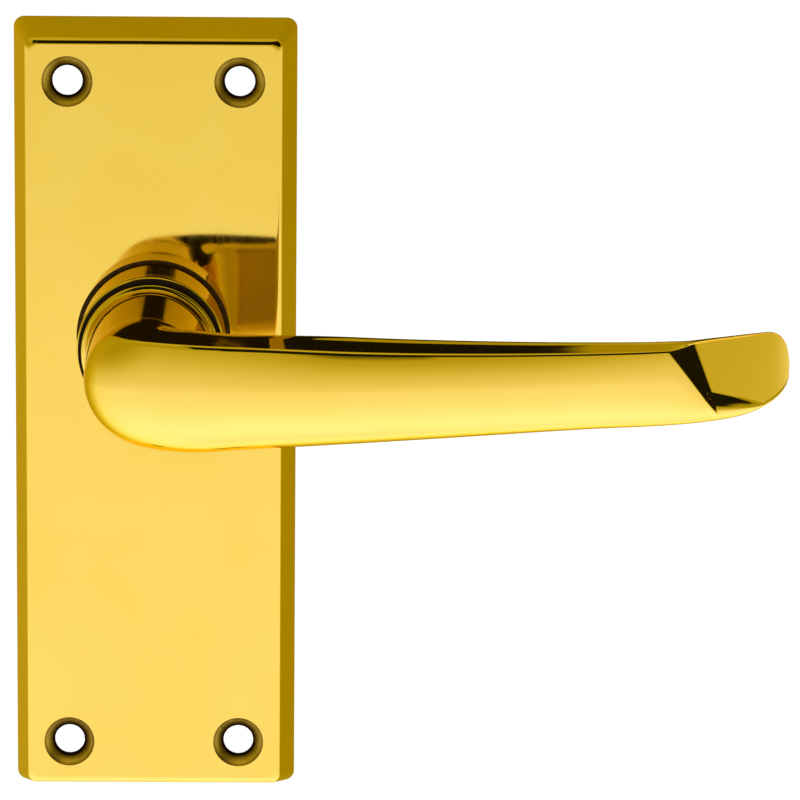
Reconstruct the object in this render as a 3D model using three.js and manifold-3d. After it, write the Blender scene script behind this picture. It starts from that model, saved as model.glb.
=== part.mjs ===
// Sprung lever handle on a plain latch backplate, polished brass, one side of a door.
// Millimetres. The origin is on the spindle axis in the plane of the door face.
// +X runs along the lever, +Y goes into the door and +Z is up.
import * as THREE from "three";
import { mergeVertices } from "three/addons/utils/BufferGeometryUtils.js";
import Module from "manifold-3d";

const wasm = await Module();
wasm.setup();

// Backplate
const PLATE_WIDTH = 42.5;
const PLATE_HEIGHT = 118;
const PLATE_DEPTH = 10;
const PLATE_CENTRE_Z = -12.2; // the spindle sits above the middle of the plate
const BEVEL_INSET = 2.26;
const EDGE_ROLL = 0.6; // rounding between the bevel and the face
const CORNER_RADIUS = 1.6;
const PLATE_WALL = 2.2;
const CAVITY_FLOOR_Y = PLATE_WALL - PLATE_DEPTH;

// Wood screw holes
const FIXING_SPACING_X = 25.6;
const FIXING_SPACING_Z = 100.8;
const FIXING_HOLE_RADIUS = 2.25;
const COUNTERSINK_RADIUS = 3.65;
const COUNTERSINK_DEPTH = 1.6;

// Collar, bush and washer, all on the spindle axis
const RECESS_RADIUS = 11.5; // counterbore in the plate that the collar stands in
const RECESS_DEPTH = 0.7;
const COLLAR_BASE_RADIUS = 11.1;
const COLLAR_FRONT_RADIUS = 10.9;
const COLLAR_FRONT_Y = -22;
const COLLAR_BORE_RADIUS = 9.8;
const SPIGOT_RADIUS = 10.4;
const THRUST_WASHER_RADIUS = 10.7;
const BUSH_OUTER_RADIUS = 9.65;
const BUSH_BORE_RADIUS = 8.35;
const BUSH_FLANGE_RADIUS = 10.9;
const JOURNAL_RADIUS = 8.2;

// Lever
const FLANGE_BACK_Y = -23;
const FLANGE_RADIUS = 10.15;
const FLANGE_THICKNESS = 1.55;
const NECK_RADIUS = 8.8;
const NECK_BACK_RADIUS = 9.4;
const NECK_TAPER_START_Y = -36;
const ELBOW_X = 12.5; // the elbow turns about this point, in the crook of the lever
const ELBOW_Y = -44;
const LEVER_TIP_X = 90.5;
const LEVER_TIP_Z = 5.1;
const TIP_TOP_LENGTH = 3.4; // how far from the tip its top and bottom start to round
const TIP_BOTTOM_LENGTH = 9;
const TIP_POWER = 2.5;
const ROUND_END_ANGLE = 2; // degrees around the elbow between its round and its ridged section
const ROOT_START_ANGLE = 54;
const GRIP_START_X = 30; // where the grip's section, and then the tip's, is complete
const TIP_START_X = 74;
const TIP_END_X = 80;
const DISH_START_X = 73; // the dished face at the tip lies between here and the rounded end
const END_START_X = 87.5;
const END_FLAT = 0.15; // the rounded end stops in a flat of about this half size
const DISH_DEPTH = 1.1;
const DISH_LEAN = Math.tan(THREE.MathUtils.degToRad(7));
const DISH_FLOOR_Z = 0.8;
const TAIL_RADIUS = 7.6; // turned-down end of the journal that carries the follower
const TAIL_START_Y = -4.4;
const TAIL_END_Y = -0.5;
const TAIL_FLAT = 6.6;
const GROOVE_RADIUS = 6.9;
const GROOVE_START_Y = -2.4;
const GROOVE_END_Y = -1.3;

// Square drive
const SOCKET_SIZE = 8.2;
const SOCKET_END_Y = -41;
const SPINDLE_SIZE = 7.9;
const SPINDLE_START_Y = -40;
const SPINDLE_END_Y = 50;
const GRUB_RADIUS = 2.45;
const GRUB_Y = -33;
const GRUB_FOOT_Z = -8.2;
const GRUB_HEXAGON_RADIUS = 1.45;

// Return mechanism in the hollow of the plate
const WAVE_WASHER_Y = -5.5;
const WAVE_HEIGHT = 0.35;
const RETAINING_RING_RADIUS = 8.9;
const RETAINING_RING_GAP = 22; // degrees
const RING_EYE_ORBIT = 8.5;
const RING_EYE_RADIUS = 1.35;
const RING_EYE_HOLE_RADIUS = 0.6;
const FOLLOWER_RADIUS = 10.9;
const FOLLOWER_START_Y = -4.3;
const FOLLOWER_END_Y = -2.5;
const STOP_ARM_REACH = 16.2;
const STOP_ARM_WIDTH = 7;
const STOP_ARM_ANGLE = -90;
const STOP_PIN_RADIUS = 1.5;
const STOP_PIN_ORBIT = 15;
const STOP_PIN_OFFSET = 20; // degrees from the middle of the arm to the pin that stops it
const STOP_PIN_END_Y = -2.2;
const ANCHOR_PIN_END_Y = -4.6;
const PIN_SEAT_DEPTH = 0.9;
const TRAVEL = 45; // degrees from rest to fully pressed
const SPRING_TAB_ANGLE = 125;
const SPRING_TAB_INNER = 13.7;
const SPRING_TAB_OUTER = 15.1;
const SPRING_TAB_WIDTH = 4;
const SPRING_TAB_START_Y = -6.9;
const SPRING_RADIUS = 12.1;
const SPRING_WIRE_RADIUS = 0.6;
const SPRING_PITCH = 1.25;
const SPRING_START_Y = -7.05;
const SPRING_FIXED_ANGLE = -37;
const SPRING_MOVING_ANGLE = 114;
const SPRING_LEG_REACH = 16;
const SPRING_BEND_REACH = 13.5;
const ANCHOR_ANGLE = -45.5;
const ANCHOR_ORBIT = 15.2;

// Rear cover
const COVER_WIDTH = 34.6;
const COVER_HEIGHT = 47;
const COVER_START_Y = -1.2;
const COVER_END_Y = -0.3;
const COVER_BORE_RADIUS = 9.6;
const COVER_SCREW_X = 14;
const COVER_SCREW_Z = 20;
const COVER_SCREW_RADIUS = 1.45;
const COVER_SCREW_HEAD_RADIUS = 2.6;
const COVER_BOSS_RADIUS = 2.9;

const BRASS = { color: 0xe0b040, roughness: 0.12, metalness: 1 };
const STEEL = { color: 0x9a9ca0, roughness: 0.35, metalness: 1 };
const SPRING_STEEL = { color: 0x55585c, roughness: 0.4, metalness: 1 };
const ZINC_STEEL = { color: 0xb9bdc2, roughness: 0.3, metalness: 1 };
const WHITE_NYLON = { color: 0xe9e6dc, roughness: 0.6, metalness: 0 };
const BLACK_NYLON = { color: 0x141210, roughness: 0.5, metalness: 0 };

const ROUND_SIDES = 48;
const radians = THREE.MathUtils.degToRad;
const mix = THREE.MathUtils.lerp;
const smoothstep = THREE.MathUtils.smoothstep;

// ---------------------------------------------------------------- helpers

function solid(geometry) {
  const bare = geometry.clone();
  bare.deleteAttribute("normal");
  bare.deleteAttribute("uv");
  const merged = mergeVertices(bare, 1e-4);
  return new wasm.Manifold(
    new wasm.Mesh({
      numProp: 3,
      vertProperties: new Float32Array(merged.attributes.position.array),
      triVerts: new Uint32Array(merged.index.array),
    }),
  );
}

function geometryOf(made) {
  const mesh = made.getMesh();
  const geometry = new THREE.BufferGeometry();
  geometry.setAttribute("position", new THREE.BufferAttribute(mesh.vertProperties, 3));
  geometry.setIndex(new THREE.BufferAttribute(mesh.triVerts, 1));
  geometry.computeVertexNormals();
  return geometry;
}

function piece(name, shape, look) {
  const geometry = shape.isBufferGeometry ? shape : geometryOf(shape);
  const mesh = new THREE.Mesh(geometry, new THREE.MeshStandardMaterial(look));
  mesh.name = name;
  return mesh;
}

// A solid of revolution about the Y axis, from [radius, y] points given front to back.
function turned(profile, sides = ROUND_SIDES) {
  const points = profile.map(([radius, y]) => new THREE.Vector2(radius, y));
  return new THREE.LatheGeometry(points, sides);
}

// A ring of rectangular section about the Y axis.
function ring(inner, outer, startY, endY, sides = ROUND_SIDES) {
  const profile = [
    [inner, startY],
    [outer, startY],
    [outer, endY],
    [inner, endY],
    [inner, startY],
  ];
  return turned(profile, sides);
}

// A round bar along Y.
function bar(radius, startY, endY, x = 0, z = 0, sides = ROUND_SIDES) {
  const geometry = new THREE.CylinderGeometry(radius, radius, endY - startY, sides);
  return geometry.translate(x, (startY + endY) / 2, z);
}

// A block given by its low and high corners.
function block(low, high) {
  const size = high.map((value, axis) => value - low[axis]);
  const centre = high.map((value, axis) => (value + low[axis]) / 2);
  return new THREE.BoxGeometry(...size).translate(...centre);
}

// A skin through rings of points, with a flat fan over each end, or joined end to end.
function loft(rings, joined = false) {
  const count = rings[0].length;
  const points = rings.flat();
  const faces = [];
  const bands = joined ? rings.length : rings.length - 1;
  for (let band = 0; band < bands; band += 1) {
    const here = band * count;
    const next = ((band + 1) % rings.length) * count;
    for (let i = 0; i < count; i += 1) {
      const j = (i + 1) % count;
      faces.push(here + i, next + i, next + j);
      faces.push(here + i, next + j, here + j);
    }
  }
  if (!joined) {
    const last = (rings.length - 1) * count;
    for (let i = 1; i < count - 1; i += 1) {
      faces.push(0, i, i + 1);
      faces.push(last, last + i + 1, last + i);
    }
  }
  const geometry = new THREE.BufferGeometry().setFromPoints(points);
  geometry.setIndex(faces);
  return geometry;
}

// A point at an angle about the spindle axis: 0 is +X and 90 is up.
function orbit(radius, degrees) {
  return [radius * Math.cos(radians(degrees)), radius * Math.sin(radians(degrees))];
}

// ---------------------------------------------------------------- backplate

// The outline of a rounded rectangle in a plane of constant y, around the plate's middle.
function plateRing(y, inset, radius) {
  const halfWidth = PLATE_WIDTH / 2 - inset;
  const halfHeight = PLATE_HEIGHT / 2 - inset;
  const points = [];
  for (let quarter = 0; quarter < 4; quarter += 1) {
    const cornerX = (quarter === 0 || quarter === 3 ? 1 : -1) * (halfWidth - radius);
    const cornerZ = (quarter < 2 ? 1 : -1) * (halfHeight - radius);
    for (let step = 0; step <= 4; step += 1) {
      const angle = radians(quarter * 90 + step * 22.5);
      const x = cornerX + radius * Math.cos(angle);
      const z = cornerZ + radius * Math.sin(angle);
      points.push(new THREE.Vector3(x, y, PLATE_CENTRE_Z + z));
    }
  }
  return points;
}

function fixingHolePlaces() {
  const places = [];
  for (const x of [-FIXING_SPACING_X / 2, FIXING_SPACING_X / 2]) {
    for (const z of [-FIXING_SPACING_Z / 2, FIXING_SPACING_Z / 2]) {
      places.push([x, PLATE_CENTRE_Z + z]);
    }
  }
  return places;
}

function coverScrewPlaces() {
  const places = [];
  for (const x of [-COVER_SCREW_X, COVER_SCREW_X]) {
    for (const z of [COVER_SCREW_Z, -COVER_SCREW_Z]) {
      places.push([x, z]);
    }
  }
  return places;
}

// The countersunk hole that a wood screw goes through.
function fixingHole() {
  const coneEndY = COUNTERSINK_DEPTH - PLATE_DEPTH;
  const slope = (COUNTERSINK_RADIUS - FIXING_HOLE_RADIUS) / COUNTERSINK_DEPTH;
  const profile = [
    [0, -PLATE_DEPTH - 1],
    [COUNTERSINK_RADIUS + slope, -PLATE_DEPTH - 1],
    [FIXING_HOLE_RADIUS, coneEndY],
    [FIXING_HOLE_RADIUS, 1],
    [0, 1],
  ];
  return turned(profile, 32);
}

function backplate() {
  const inset = BEVEL_INSET * (1 - EDGE_ROLL / PLATE_DEPTH);
  const outside = loft([
    plateRing(-PLATE_DEPTH, BEVEL_INSET + EDGE_ROLL, CORNER_RADIUS / 2),
    plateRing(-PLATE_DEPTH + EDGE_ROLL * 0.25, inset + EDGE_ROLL * 0.3, CORNER_RADIUS * 0.7),
    plateRing(-PLATE_DEPTH + EDGE_ROLL, inset, CORNER_RADIUS * 0.8),
    plateRing(0, 0, CORNER_RADIUS),
  ]);
  const floorInset = PLATE_WALL + BEVEL_INSET * (-CAVITY_FLOOR_Y / PLATE_DEPTH);
  const hollow = loft([
    plateRing(CAVITY_FLOOR_Y, floorInset, CORNER_RADIUS),
    plateRing(1, PLATE_WALL, CORNER_RADIUS),
  ]);
  let made = solid(outside).subtract(solid(hollow));
  for (const [x, z] of coverScrewPlaces()) {
    const bossEndY = COVER_START_Y - 0.15;
    made = made.add(solid(bar(COVER_BOSS_RADIUS, CAVITY_FLOOR_Y - 0.5, bossEndY, x, z, 24)));
    made = made.subtract(solid(bar(COVER_SCREW_RADIUS + 0.15, CAVITY_FLOOR_Y + 0.8, 0, x, z, 24)));
  }
  for (const [x, z] of fixingHolePlaces()) {
    made = made.subtract(solid(fixingHole().translate(x, 0, z)));
  }
  for (const [x, z] of pinPlaces()) {
    made = made.subtract(solid(bar(STOP_PIN_RADIUS + 0.1, CAVITY_FLOOR_Y - 1, 0, x, z, 24)));
  }
  const recess = bar(RECESS_RADIUS, -PLATE_DEPTH - 1, -PLATE_DEPTH + RECESS_DEPTH);
  const bore = bar(SPIGOT_RADIUS + 0.15, -PLATE_DEPTH - 1, 1);
  return made.subtract(solid(recess)).subtract(solid(bore));
}

// ---------------------------------------------------------------- collar and bearing

function collar() {
  const roll = 0.5;
  const backY = CAVITY_FLOOR_Y + 0.1;
  const seatY = -PLATE_DEPTH + RECESS_DEPTH - 0.1;
  return turned([
    [COLLAR_BORE_RADIUS, COLLAR_FRONT_Y],
    [COLLAR_FRONT_RADIUS - roll, COLLAR_FRONT_Y],
    [COLLAR_FRONT_RADIUS - roll * 0.3, COLLAR_FRONT_Y + roll * 0.3],
    [COLLAR_FRONT_RADIUS, COLLAR_FRONT_Y + roll],
    [COLLAR_BASE_RADIUS, seatY],
    [SPIGOT_RADIUS, seatY],
    [SPIGOT_RADIUS, backY],
    [COLLAR_BORE_RADIUS, backY],
    [COLLAR_BORE_RADIUS, COLLAR_FRONT_Y],
  ]);
}

function bearingBush() {
  const startY = COLLAR_FRONT_Y + 0.2;
  const flangeY = CAVITY_FLOOR_Y + 0.2;
  const backY = flangeY + 1;
  return turned([
    [BUSH_BORE_RADIUS, startY],
    [BUSH_OUTER_RADIUS, startY],
    [BUSH_OUTER_RADIUS, flangeY],
    [BUSH_FLANGE_RADIUS, flangeY],
    [BUSH_FLANGE_RADIUS, backY],
    [BUSH_BORE_RADIUS, backY],
    [BUSH_BORE_RADIUS, startY],
  ]);
}

// The washer between the collar and the lever's flange. Its rim shows as a dark line.
function thrustWasher() {
  const gap = 0.1;
  return ring(BUSH_BORE_RADIUS, THRUST_WASHER_RADIUS, FLANGE_BACK_Y + gap, COLLAR_FRONT_Y - gap);
}

// A spring washer with three waves, which takes up the end play behind the bush.
function waveWasher() {
  const inner = JOURNAL_RADIUS + 0.4;
  const outer = FOLLOWER_RADIUS - 0.2;
  const thickness = 0.5;
  const rings = [];
  for (let step = 0; step < ROUND_SIDES; step += 1) {
    const degrees = (step * 360) / ROUND_SIDES;
    const y = WAVE_WASHER_Y + WAVE_HEIGHT * Math.cos(3 * radians(degrees));
    const corners = [
      [inner, y - thickness / 2],
      [inner, y + thickness / 2],
      [outer, y + thickness / 2],
      [outer, y - thickness / 2],
    ];
    const section = corners.map(([radius, cornerY]) => {
      const [x, z] = orbit(radius, degrees);
      return new THREE.Vector3(x, cornerY, z);
    });
    rings.push(section);
  }
  return loft(rings, true);
}

// ---------------------------------------------------------------- lever

// Control points of six joined Bezier curves around the lever's section. First coordinate: -1 at
// the back to 1 at the front. Second: -1 at the bottom to 1 at the top. The rows are the facet
// that starts at the ridge, the top behind it, the leaning back, its foot, the bottom, the front.
const ROOT_SECTION = [
  [[0.92, 0.87], [0.68, 0.9], [0.44, 0.93]],
  [[0.2, 0.96], [-0.05, 0.955], [-0.6, 0.965]],
  [[-0.68, 0.8], [-0.76, 0.35], [-0.84, -0.1]],
  [[-0.93, -0.5], [-1.02, -0.8], [-0.8, -1]],
  [[-0.3, -1], [0.6, -1], [1, -0.6]],
  [[1, 0.1], [1, 0.42], [0.958, 0.68]],
];
const GRIP_SECTION = [
  [[0.9, 0.85], [0.58, 0.882], [0.27, 0.915]],
  [[-0.05, 0.947], [-0.2, 0.985], [-0.44, 1.03]],
  [[-0.62, 0.86], [-0.8, 0.35], [-0.93, -0.1]],
  [[-1, -0.5], [-1.03, -0.8], [-0.8, -1]],
  [[-0.3, -1], [0.65, -1], [1, -0.6]],
  [[1, 0.1], [1, 0.42], [0.945, 0.68]],
];
const TIP_SECTION = [
  [[0.8, 0.93], [0.5, 0.965], [0.2, 0.99]],
  [[-0.1, 1], [-0.5, 1], [-0.85, 0.9]],
  [[-0.95, 0.6], [-1, 0.3], [-1, 0]],
  [[-1, -0.4], [-1, -0.85], [-0.7, -1]],
  [[-0.2, -1], [0.5, -1], [0.95, -0.85]],
  [[1, -0.5], [1, 0], [0.95, 0.6]],
];
const ROUND_ANGLES = [50, 115, 160, 205, 260, 360, 410];
const SECTION_STEPS = [4, 4, 4, 4, 6, 8];

// The same rows for a circle, worked out from the angles of its corners.
function roundSection() {
  return GRIP_SECTION.map((row, index) => {
    const start = radians(ROUND_ANGLES[index]);
    const end = radians(ROUND_ANGLES[index + 1]);
    const handle = (4 / 3) * Math.tan((end - start) / 4);
    const from = [Math.cos(start), Math.sin(start)];
    const to = [Math.cos(end), Math.sin(end)];
    return [
      from,
      [from[0] - handle * from[1], from[1] + handle * from[0]],
      [to[0] + handle * to[1], to[1] - handle * to[0]],
    ];
  });
}

const ROUND_SECTION = roundSection();

// Rows of control points between two sections.
function blendSections(first, second, share) {
  return first.map((row, r) =>
    row.map((point, p) => [
      mix(point[0], second[r][p][0], share),
      mix(point[1], second[r][p][1], share),
    ]),
  );
}

// Points around a section.
function sectionOutline(section) {
  const rows = section.map((row) => row.map(([across, up]) => new THREE.Vector2(across, up)));
  const outline = [];
  rows.forEach((row, r) => {
    const next = rows[(r + 1) % rows.length];
    const curve = new THREE.CubicBezierCurve(row[0], row[1], row[2], next[0]);
    const steps = SECTION_STEPS[r];
    for (let step = 0; step < steps; step += 1) {
      outline.push(curve.getPoint(step / steps));
    }
  });
  return outline;
}

// A smooth value along the lever, through [x, value] points.
function profile(points) {
  const curve = new THREE.CatmullRomCurve3(
    points.map(([x, value]) => new THREE.Vector3(x, value, 0)),
    false,
    "centripetal",
  );
  const samples = curve.getPoints(240);
  return (x) => {
    const after = samples.findIndex((sample) => sample.x >= x);
    if (after === -1) {
      return samples[samples.length - 1].y;
    }
    if (after === 0) {
      return samples[0].y;
    }
    const a = samples[after - 1];
    const b = samples[after];
    return mix(a.y, b.y, (x - a.x) / (b.x - a.x));
  };
}

// The lever's front, back, top and bottom by x.
const frontY = profile([
  [12.5, -60.4], [38, -60.3], [62, -59.2], [76, -59.2], [85, -60.7], [LEVER_TIP_X, -62.6],
]);
const backY = profile([
  [12.5, -47.6], [38, -49.9], [62, -52], [76, -54.4], [85, -57.2], [LEVER_TIP_X, -60],
]);
const topZ = profile([
  [12.5, 8.45], [38, 7.7], [62, 7.6], [76, 8.2], [85, 9.6], [LEVER_TIP_X, 10.7],
]);
const bottomZ = profile([
  [12.5, -8.6], [38, -6.7], [62, -4.9], [76, -3.8], [85, -2], [LEVER_TIP_X, -0.6],
]);

// How much of its full size the lever keeps close to its rounded tip.
function tipShare(x, length, power) {
  const into = Math.max(0, (x - (LEVER_TIP_X - length)) / length);
  return Math.pow(Math.max(0, 1 - Math.pow(into, power)), 1 / power);
}

// The dished face at the tip, in [x, z]: its wall falls from the outer lines to the inner ones.
const DISH_LEFT_OUTER = [[74.2, 6.35], [81.4, -2.75]];
const DISH_LEFT_INNER = [[77.5, 8.05], [79.9, 1.25]];
const DISH_FOOT_OUTER = [[81, -3.6], [86, -1.2]];
const DISH_FOOT_INNER = [[79.9, 1.25], [85, 0.3]];

// Distance from a line in [x, z], positive on its left-hand side.
function sideOf([[x1, z1], [x2, z2]], x, z) {
  const length = Math.hypot(x2 - x1, z2 - z1);
  return ((x2 - x1) * (z - z1) - (z2 - z1) * (x - x1)) / length;
}

// 0 at the outer line and 1 at the inner one.
function between(outer, inner) {
  return outer > 0 ? Math.min(1, outer / Math.max(1e-6, outer - inner)) : 0;
}

// How far a point is down into the dished face: 0 outside, 1 on its floor.
function dishShare(x, z) {
  if (x < DISH_START_X) {
    return 0;
  }
  const left = between(sideOf(DISH_LEFT_OUTER, x, z), sideOf(DISH_LEFT_INNER, x, z));
  const foot = between(sideOf(DISH_FOOT_OUTER, x, z), sideOf(DISH_FOOT_INNER, x, z));
  return Math.min(left, foot);
}

// One ring of the grip in the plane of constant x.
function gripRing(x) {
  const middleY = (frontY(x) + backY(x)) / 2;
  const halfDepth = (backY(x) - frontY(x)) / 2;
  const high = mix(LEVER_TIP_Z, topZ(x), tipShare(x, TIP_TOP_LENGTH, TIP_POWER));
  const low = mix(LEVER_TIP_Z, bottomZ(x), tipShare(x, TIP_BOTTOM_LENGTH, TIP_POWER));
  const halfHeight = Math.max(END_FLAT, (high - low) / 2);
  const grip = blendSections(ROOT_SECTION, GRIP_SECTION, smoothstep(x, ELBOW_X, GRIP_START_X));
  const section = blendSections(grip, TIP_SECTION, smoothstep(x, TIP_START_X, TIP_END_X));
  const endShare = Math.max(END_FLAT, tipShare(x, LEVER_TIP_X - END_START_X, 2));
  return sectionOutline(section).map((point) => {
    const z = (high + low) / 2 + halfHeight * point.y;
    const plainY = middleY - halfDepth * point.x;
    const floorY = frontY(x) + DISH_DEPTH + DISH_LEAN * (z - DISH_FLOOR_Z);
    const share = dishShare(x, z) * smoothstep(point.x, 0, 0.7);
    const y = mix(plainY, Math.max(plainY, floorY), share);
    return new THREE.Vector3(x, middleY + (y - middleY) * endShare, z);
  });
}

// One ring of the elbow, in a plane through the crook, turned from the neck (0) to the grip (90).
function elbowRing(degrees) {
  const turn = radians(degrees);
  const inner = mix(ELBOW_X - NECK_RADIUS, ELBOW_Y - backY(ELBOW_X), degrees / 90);
  const reachX = ELBOW_X + NECK_RADIUS;
  const reachY = ELBOW_Y - frontY(ELBOW_X);
  const power = 2.25;
  const outer = Math.pow(
    Math.pow(Math.cos(turn) / reachX, power) + Math.pow(Math.sin(turn) / reachY, power),
    -1 / power,
  );
  const swell = Math.sin(2 * turn);
  const high = mix(NECK_RADIUS, topZ(ELBOW_X), degrees / 90) + 0.2 * swell;
  const low = mix(-NECK_RADIUS, bottomZ(ELBOW_X), degrees / 90) - 0.5 * swell;
  const rootShare = smoothstep(degrees, ROUND_END_ANGLE, ROOT_START_ANGLE);
  const section = blendSections(ROUND_SECTION, ROOT_SECTION, rootShare);
  return sectionOutline(section).map((point) => {
    const reach = (inner + outer) / 2 + ((outer - inner) / 2) * point.x;
    return new THREE.Vector3(
      ELBOW_X - reach * Math.cos(turn),
      ELBOW_Y - reach * Math.sin(turn),
      (high + low) / 2 + ((high - low) / 2) * point.y,
    );
  });
}

// The handle that shows: neck, elbow and grip in one skin.
function leverBody() {
  const rings = [];
  const neck = [
    [NECK_BACK_RADIUS, FLANGE_BACK_Y - FLANGE_THICKNESS - 0.45],
    [NECK_BACK_RADIUS, NECK_TAPER_START_Y],
  ];
  for (const [radius, y] of neck) {
    rings.push(sectionOutline(ROUND_SECTION).map(
      (point) => new THREE.Vector3(-radius * point.x, y, radius * point.y),
    ));
  }
  for (let degrees = 0; degrees < 90; degrees += 10) {
    rings.push(elbowRing(degrees));
  }
  for (const [from, to, steps] of [[ELBOW_X, DISH_START_X, 10], [DISH_START_X, END_START_X, 20]]) {
    for (let step = 0; step < steps; step += 1) {
      rings.push(gripRing(mix(from, to, step / steps)));
    }
  }
  const endSteps = 6;
  for (let step = 0; step <= endSteps; step += 1) {
    const left = Math.pow(1 - step / endSteps, 2);
    rings.push(gripRing(LEVER_TIP_X - (LEVER_TIP_X - END_START_X) * left));
  }
  return loft(rings);
}

// The turned part of the lever: flange, flared neck, journal and keyed tail.
function leverShank() {
  const flangeFrontY = FLANGE_BACK_Y - FLANGE_THICKNESS;
  const edge = new THREE.Vector2(FLANGE_RADIUS - 0.4, flangeFrontY);
  const corner = new THREE.Vector2(NECK_BACK_RADIUS, flangeFrontY - 0.05);
  const neck = new THREE.Vector2(NECK_BACK_RADIUS, flangeFrontY - 0.55);
  const flare = new THREE.QuadraticBezierCurve(neck, corner, edge).getPoints(4);
  const coreRadius = NECK_BACK_RADIUS - 0.5; // inside the neck, so that the two bodies overlap
  const coreEndY = flangeFrontY - 4.5;
  return turned([
    [0, coreEndY],
    [coreRadius, coreEndY],
    [coreRadius, flangeFrontY - 1.5],
    ...flare.map((point) => [point.x, point.y]),
    [FLANGE_RADIUS, flangeFrontY + 0.45],
    [FLANGE_RADIUS, FLANGE_BACK_Y],
    [JOURNAL_RADIUS, FLANGE_BACK_Y],
    [JOURNAL_RADIUS, TAIL_START_Y],
    [TAIL_RADIUS, TAIL_START_Y],
    [TAIL_RADIUS, GROOVE_START_Y],
    [GROOVE_RADIUS, GROOVE_START_Y],
    [GROOVE_RADIUS, GROOVE_END_Y],
    [TAIL_RADIUS, GROOVE_END_Y],
    [TAIL_RADIUS, TAIL_END_Y],
    [0, TAIL_END_Y],
  ]);
}

function lever() {
  const half = SOCKET_SIZE / 2;
  let made = solid(leverShank()).add(solid(leverBody()));
  made = made.subtract(solid(block([-half, SOCKET_END_Y, -half], [half, 1, half])));
  for (const side of [-1, 1]) {
    const near = Math.min(side * TAIL_FLAT, side * 12);
    const far = Math.max(side * TAIL_FLAT, side * 12);
    made = made.subtract(solid(block([near, TAIL_START_Y, -12], [far, 1, 12])));
  }
  const screwHole = bar(GRUB_RADIUS + 0.15, 0, 12, 0, 0, 24).rotateX(-Math.PI / 2);
  return made.subtract(solid(screwHole.translate(0, GRUB_Y, 0)));
}

// ---------------------------------------------------------------- spindle and grub screw

function spindle() {
  const half = SPINDLE_SIZE / 2;
  const chamfer = 0.8;
  const square = (y, size) =>
    [[-1, -1], [1, -1], [1, 1], [-1, 1]].map(
      ([x, z]) => new THREE.Vector3(x * size, y, z * size),
    );
  return loft([
    square(SPINDLE_START_Y, half - chamfer),
    square(SPINDLE_START_Y + chamfer, half),
    square(SPINDLE_END_Y - chamfer, half),
    square(SPINDLE_END_Y, half - chamfer),
  ]);
}

// A socket set screw, entered from under the neck, that bears on the spindle.
function grubScrew() {
  const endZ = -SPINDLE_SIZE / 2 - 0.05;
  const body = turned([
    [0, GRUB_FOOT_Z],
    [GRUB_RADIUS - 0.3, GRUB_FOOT_Z],
    [GRUB_RADIUS, GRUB_FOOT_Z + 0.3],
    [GRUB_RADIUS, endZ - 0.8],
    [GRUB_RADIUS - 0.9, endZ],
    [0, endZ],
  ], 24);
  const hexagon = bar(GRUB_HEXAGON_RADIUS, GRUB_FOOT_Z - 1, GRUB_FOOT_Z + 2, 0, 0, 6);
  const made = solid(body).subtract(solid(hexagon));
  return geometryOf(made).rotateX(Math.PI / 2).translate(0, GRUB_Y, 0);
}

// ---------------------------------------------------------------- return mechanism

// The steel plate keyed on the lever's tail: an arm for the stops and a bent tab for the spring.
function follower() {
  let made = solid(bar(FOLLOWER_RADIUS, FOLLOWER_START_Y, FOLLOWER_END_Y));
  const arm = block(
    [0, FOLLOWER_START_Y, -STOP_ARM_WIDTH / 2],
    [STOP_ARM_REACH, FOLLOWER_END_Y, STOP_ARM_WIDTH / 2],
  );
  made = made.add(solid(arm.rotateY(radians(-STOP_ARM_ANGLE))));
  const carrier = block(
    [0, FOLLOWER_START_Y, -SPRING_TAB_WIDTH / 2],
    [SPRING_TAB_OUTER, FOLLOWER_END_Y, SPRING_TAB_WIDTH / 2],
  );
  const tab = block(
    [SPRING_TAB_INNER, SPRING_TAB_START_Y, -SPRING_TAB_WIDTH / 2],
    [SPRING_TAB_OUTER, FOLLOWER_START_Y + 0.5, SPRING_TAB_WIDTH / 2],
  );
  for (const shape of [carrier, tab]) {
    made = made.add(solid(shape.rotateY(radians(-SPRING_TAB_ANGLE))));
  }
  const clearance = 0.15;
  const keyed = solid(bar(TAIL_RADIUS + clearance, -10, 0)).intersect(
    solid(block([-TAIL_FLAT - clearance, -9, -12], [TAIL_FLAT + clearance, -1, 12])),
  );
  return made.subtract(keyed);
}

// An open retaining ring with two eyes for circlip pliers.
function retainingRing() {
  const startY = GROOVE_START_Y + 0.1;
  const endY = GROOVE_END_Y - 0.1;
  const inner = GROOVE_RADIUS + 0.15;
  const eyes = [-1, 1].map((side) =>
    orbit(RING_EYE_ORBIT, 90 + side * (RETAINING_RING_GAP / 2 + 9)),
  );
  let made = solid(ring(inner, RETAINING_RING_RADIUS, startY, endY));
  for (const [x, z] of eyes) {
    made = made.add(solid(bar(RING_EYE_RADIUS, startY, endY, x, z, 20)));
  }
  made = made.subtract(solid(bar(inner, -9, 1)));
  const [gapX, gapZ] = orbit(RETAINING_RING_RADIUS + 5, 90 + RETAINING_RING_GAP / 2);
  const wedge = new THREE.Shape([
    new THREE.Vector2(0, 0),
    new THREE.Vector2(-gapX, gapZ),
    new THREE.Vector2(gapX, gapZ),
  ]);
  const cutter = new THREE.ExtrudeGeometry(wedge, { depth: 12, bevelEnabled: false });
  made = made.subtract(solid(cutter.rotateX(Math.PI / 2).translate(0, 1, 0)));
  for (const [x, z] of eyes) {
    made = made.subtract(solid(bar(RING_EYE_HOLE_RADIUS, -9, 1, x, z, 12)));
  }
  return made;
}

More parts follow.
